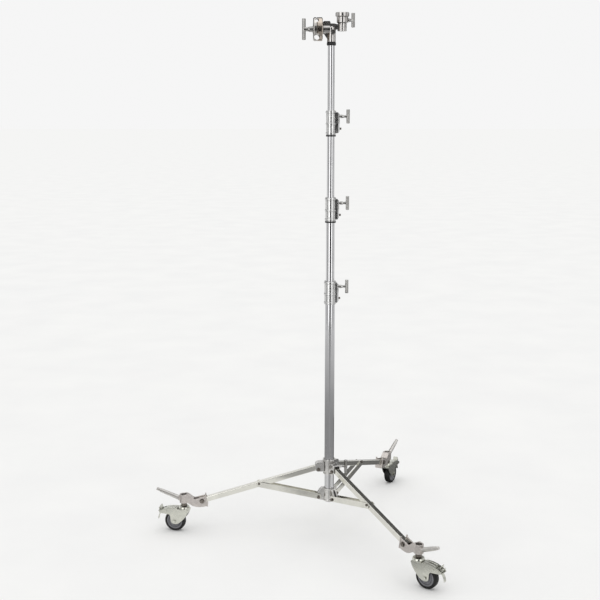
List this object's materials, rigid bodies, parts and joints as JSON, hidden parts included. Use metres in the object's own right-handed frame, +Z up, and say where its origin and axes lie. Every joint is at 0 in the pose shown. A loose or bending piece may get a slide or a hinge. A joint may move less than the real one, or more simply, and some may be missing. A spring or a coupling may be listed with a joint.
{
  "type": "rolling overhead light stand",
  "caption": "Wheeled chrome light stand with folding tripod base, telescopic mast, grip jaws and a spigot receiver.",
  "frame": {"origin": "point on the floor under the mast's axis, with the three tyres resting on Z = 0", "axes": "+Z up the mast; one leg points along -X; the clamp handles point along +X"},
  "size_m": [1.2793, 1.4352, 2.41],
  "materials": {
    "chrome_tube": "bright chrome plate",
    "leg_chrome": "satin chrome plate",
    "cast_chrome": "chrome plated sand casting",
    "collar_chrome": "dark chrome plated casting",
    "cast_bracket": "shot-blasted casting",
    "zinc_steel": "zinc plated pressed steel",
    "steel_bar": "bright plated flat bar",
    "fastener_steel": "oiled steel fasteners",
    "handle_chrome": "chrome plated turned steel",
    "lift_steel": "plated turned bar",
    "black_nylon": "black nylon",
    "jaw_iron": "cast jaw plate, toned",
    "wheel_grey": "grey moulded wheel centre",
    "tyre_black": "black rubber tread"
  },
  "bodies": {
    "column": {"base_column": "chrome_tube", "lower_collar": "cast_chrome", "base_bolts": "fastener_steel", "column_bushes": "black_nylon", "base_mast_collar": "collar_chrome"},
    "upper_collar": {"upper_collar": "cast_chrome", "upper_collar_bolts": "fastener_steel"},
    "riser_1": {"riser_1_tube": "chrome_tube", "riser_1_collar": "collar_chrome", "riser_1_bushes": "black_nylon", "riser_1_lock_screw": "fastener_steel"},
    "riser_2": {"riser_2_tube": "chrome_tube", "riser_2_collar": "collar_chrome", "riser_2_bushes": "black_nylon", "riser_2_lock_screw": "fastener_steel"},
    "riser_3": {"riser_3_tube": "chrome_tube", "riser_3_bushes": "black_nylon", "head_body": "collar_chrome", "junior_receiver": "collar_chrome"},
    "inner_jaw": {"grip_inner_jaw": "jaw_iron"},
    "outer_jaw": {"grip_outer_jaw": "jaw_iron"},
    "grip_handle": {"grip_t_handle": "handle_chrome"},
    "base_handle": {"base_t_handle": "handle_chrome"},
    "collar_handle": {"upper_collar_t_handle": "handle_chrome"},
    "riser_1_handle": {"riser_1_t_handle": "handle_chrome"},
    "riser_2_handle": {"riser_2_t_handle": "handle_chrome"},
    "receiver_handle": {"receiver_t_handle": "handle_chrome"},
    "leg_left": {"leg_left_tube": "leg_chrome", "leg_left_bolts": "fastener_steel", "leg_left_caster_bracket": "cast_bracket", "leg_left_lift_handle": "lift_steel", "caster_left_stem": "fastener_steel"},
    "brace_left": {"brace_left_bars": "steel_bar"},
    "fork_left": {"caster_left_fork": "zinc_steel", "caster_left_axle": "zinc_steel"},
    "wheel_left": {"caster_left_wheel_core": "wheel_grey", "caster_left_tyre": "tyre_black"},
    "pedal_left": {"caster_left_pedal": "zinc_steel"},
    "leg_front": {"leg_front_tube": "leg_chrome", "leg_front_bolts": "fastener_steel", "leg_front_caster_bracket": "cast_bracket", "leg_front_lift_handle": "lift_steel", "caster_front_stem": "fastener_steel"},
    "brace_front": {"brace_front_bars": "steel_bar"},
    "fork_front": {"caster_front_fork": "zinc_steel", "caster_front_axle": "zinc_steel"},
    "wheel_front": {"caster_front_wheel_core": "wheel_grey", "caster_front_tyre": "tyre_black"},
    "pedal_front": {"caster_front_pedal": "zinc_steel"},
    "leg_rear": {"leg_rear_tube": "leg_chrome", "leg_rear_bolts": "fastener_steel", "leg_rear_caster_bracket": "cast_bracket", "leg_rear_lift_handle": "lift_steel", "caster_rear_stem": "fastener_steel"},
    "brace_rear": {"brace_rear_bars": "steel_bar"},
    "fork_rear": {"caster_rear_fork": "zinc_steel", "caster_rear_axle": "zinc_steel"},
    "wheel_rear": {"caster_rear_wheel_core": "wheel_grey", "caster_rear_tyre": "tyre_black"},
    "pedal_rear": {"caster_rear_pedal": "zinc_steel"}
  },
  "joints": [
    {"name": "base_fold", "type": "hinge", "parent": "column", "child": "brace_left", "pos_m": [-0.051, 0, 0.169], "axis": [0, 1, 0], "range_deg": [0, 62]},
    {"name": "leg_left_fold", "type": "hinge", "parent": "brace_left", "child": "leg_left", "pos_m": [-0.335, 0, 0.238], "axis": [0, 1, 0], "range_deg": [-124, 0]},
    {"name": "collar_lift", "type": "hinge", "parent": "leg_left", "child": "upper_collar", "pos_m": [-0.051, 0, 0.307], "axis": [0, 1, 0], "range_deg": [0, 62]},
    {"name": "leg_front_fold", "type": "hinge", "parent": "upper_collar", "child": "leg_front", "pos_m": [0.0255, -0.04417, 0.307], "axis": [-0.866, -0.5, 0], "range_deg": [-62, 0]},
    {"name": "brace_front_fold", "type": "hinge", "parent": "column", "child": "brace_front", "pos_m": [0.0255, -0.04417, 0.169], "axis": [-0.866, -0.5, 0], "range_deg": [0, 62]},
    {"name": "leg_rear_fold", "type": "hinge", "parent": "upper_collar", "child": "leg_rear", "pos_m": [0.0255, 0.04417, 0.307], "axis": [0.866, -0.5, 0], "range_deg": [-62, 0]},
    {"name": "brace_rear_fold", "type": "hinge", "parent": "column", "child": "brace_rear", "pos_m": [0.0255, 0.04417, 0.169], "axis": [0.866, -0.5, 0], "range_deg": [0, 62]},
    {"name": "riser_1_slide", "type": "slide", "parent": "column", "child": "riser_1", "axis": [0, 0, 1], "range_m": [-0.2695, 0.6]},
    {"name": "riser_2_slide", "type": "slide", "parent": "riser_1", "child": "riser_2", "axis": [0, 0, 1], "range_m": [-0.2725, 0.6]},
    {"name": "riser_3_slide", "type": "slide", "parent": "riser_2", "child": "riser_3", "axis": [0, 0, 1], "range_m": [-0.2825, 0.6]},
    {"name": "base_handle_turn", "type": "hinge", "parent": "column", "child": "base_handle", "pos_m": [0.077, 0, 1.186], "axis": [1, 0, 0], "range_deg": [0, 720]},
    {"name": "riser_1_handle_turn", "type": "hinge", "parent": "riser_1", "child": "riser_1_handle", "pos_m": [0.077, 0, 1.571], "axis": [1, 0, 0], "range_deg": [0, 720]},
    {"name": "riser_2_handle_turn", "type": "hinge", "parent": "riser_2", "child": "riser_2_handle", "pos_m": [0.077, 0, 1.959], "axis": [1, 0, 0], "range_deg": [0, 720]},
    {"name": "collar_handle_turn", "type": "hinge", "parent": "upper_collar", "child": "collar_handle", "pos_m": [0.079, 0, 0.317], "axis": [1, 0, 0], "range_deg": [0, 720]},
    {"name": "receiver_handle_turn", "type": "hinge", "parent": "riser_3", "child": "receiver_handle", "pos_m": [0.096, 0, 2.377], "axis": [1, 0, 0], "range_deg": [0, 720]},
    {"name": "grip_turn", "type": "hinge", "parent": "riser_3", "child": "inner_jaw", "pos_m": [-0.05, 0, 2.338], "axis": [1, 0, 0], "continuous": true},
    {"name": "grip_jaw_slide", "type": "slide", "parent": "inner_jaw", "child": "outer_jaw", "axis": [-1, 0, 0], "range_m": [0, 0.008]},
    {"name": "grip_handle_turn", "type": "hinge", "parent": "outer_jaw", "child": "grip_handle", "pos_m": [-0.1, 0, 2.338], "axis": [-1, 0, 0], "range_deg": [0, 1440]},
    {"name": "caster_left_swivel", "type": "hinge", "parent": "leg_left", "child": "fork_left", "pos_m": [-0.694, 0, 0.118], "axis": [0, 0, 1], "continuous": true},
    {"name": "caster_left_roll", "type": "hinge", "parent": "fork_left", "child": "wheel_left", "pos_m": [-0.73747, 0.01165, 0.05], "axis": [0.2588, 0.9659, 0], "continuous": true},
    {"name": "caster_left_brake", "type": "hinge", "parent": "fork_left", "child": "pedal_left", "pos_m": [-0.77514, 0.02174, 0.1], "axis": [-0.2588, -0.9659, 0], "range_deg": [0, 6]},
    {"name": "caster_front_swivel", "type": "hinge", "parent": "leg_front", "child": "fork_front", "pos_m": [0.347, -0.60102, 0.118], "axis": [0, 0, 1], "continuous": true},
    {"name": "caster_front_roll", "type": "hinge", "parent": "fork_front", "child": "wheel_front", "pos_m": [0.38147, -0.62995, 0.05], "axis": [-0.6428, -0.766, 0], "continuous": true},
    {"name": "caster_front_brake", "type": "hinge", "parent": "fork_front", "child": "pedal_front", "pos_m": [0.41135, -0.65502, 0.1], "axis": [0.6428, 0.766, 0], "range_deg": [0, 6]},
    {"name": "caster_rear_swivel", "type": "hinge", "parent": "leg_rear", "child": "fork_rear", "pos_m": [0.347, 0.60102, 0.118], "axis": [0, 0, 1], "continuous": true},
    {"name": "caster_rear_roll", "type": "hinge", "parent": "fork_rear", "child": "wheel_rear", "pos_m": [0.3695, 0.63999, 0.05], "axis": [0.866, -0.5, 0], "continuous": true},
    {"name": "caster_rear_brake", "type": "hinge", "parent": "fork_rear", "child": "pedal_rear", "pos_m": [0.389, 0.67377, 0.1], "axis": [-0.866, 0.5, 0], "range_deg": [0, 6]}
  ],
  "couplings": [
    {"joint": "leg_left_fold", "follows": "base_fold", "ratio": -2},
    {"joint": "collar_lift", "follows": "base_fold", "ratio": 1},
    {"joint": "leg_front_fold", "follows": "base_fold", "ratio": -1},
    {"joint": "brace_front_fold", "follows": "base_fold", "ratio": 1},
    {"joint": "leg_rear_fold", "follows": "base_fold", "ratio": -1},
    {"joint": "brace_rear_fold", "follows": "base_fold", "ratio": 1},
    {"joint": "grip_handle_turn", "follows": "grip_jaw_slide", "rad_per_m": 3141.6}
  ]
}
